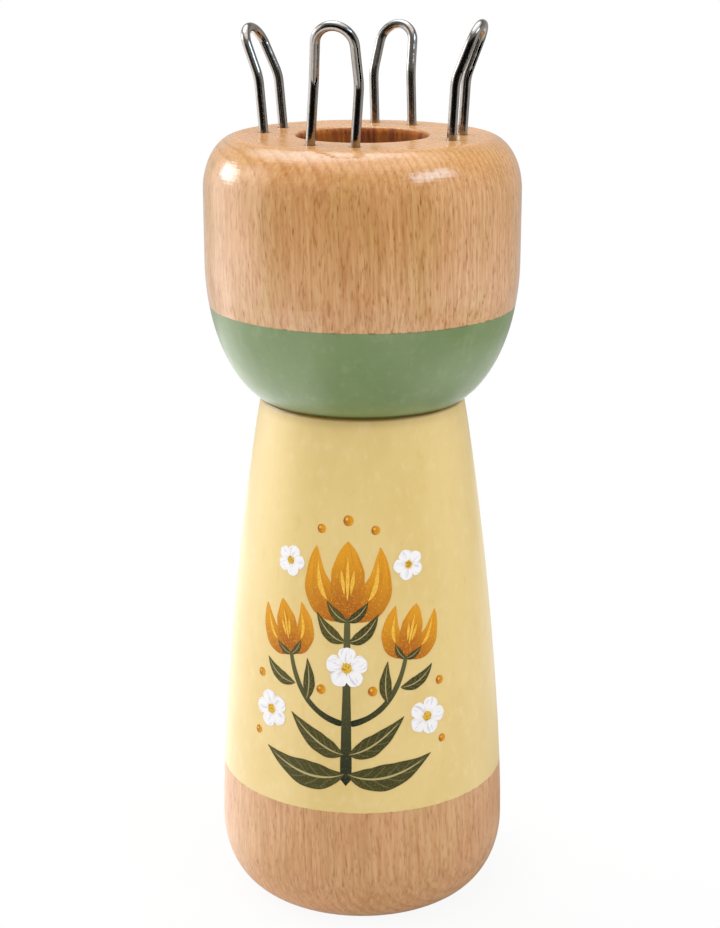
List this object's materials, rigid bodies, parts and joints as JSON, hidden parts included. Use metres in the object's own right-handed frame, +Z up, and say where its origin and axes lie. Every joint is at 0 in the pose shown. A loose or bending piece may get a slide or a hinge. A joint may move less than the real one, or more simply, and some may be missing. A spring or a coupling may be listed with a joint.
{
  "type": "knitting nancy",
  "caption": "Turned wooden knitting spool: a rounded head glued by a spigot into a flared body, with a bore right through and bent wire hoops in the flat top to hold the yarn.",
  "frame": {"origin": "centre of the ring that the body stands on, on the table", "axes": "+Z up along the bore, hoops on the +X, +Y, -X and -Y sides, -Y is the front"},
  "size_m": [0.04, 0.04, 0.116],
  "materials": {
    "body_wood": "beech, straw yellow satin paint above a bare lacquered foot, with a printed sprig",
    "head_wood": "clear lacquered beech, sage green satin paint on the lower bowl",
    "hoop_wire": "bright nickel-plated steel wire"
  },
  "bodies": {
    "root": {"body": "body_wood", "head": "head_wood", "hoop_right": "hoop_wire", "hoop_back": "hoop_wire", "hoop_left": "hoop_wire", "hoop_front": "hoop_wire"}
  },
  "joints": []
}
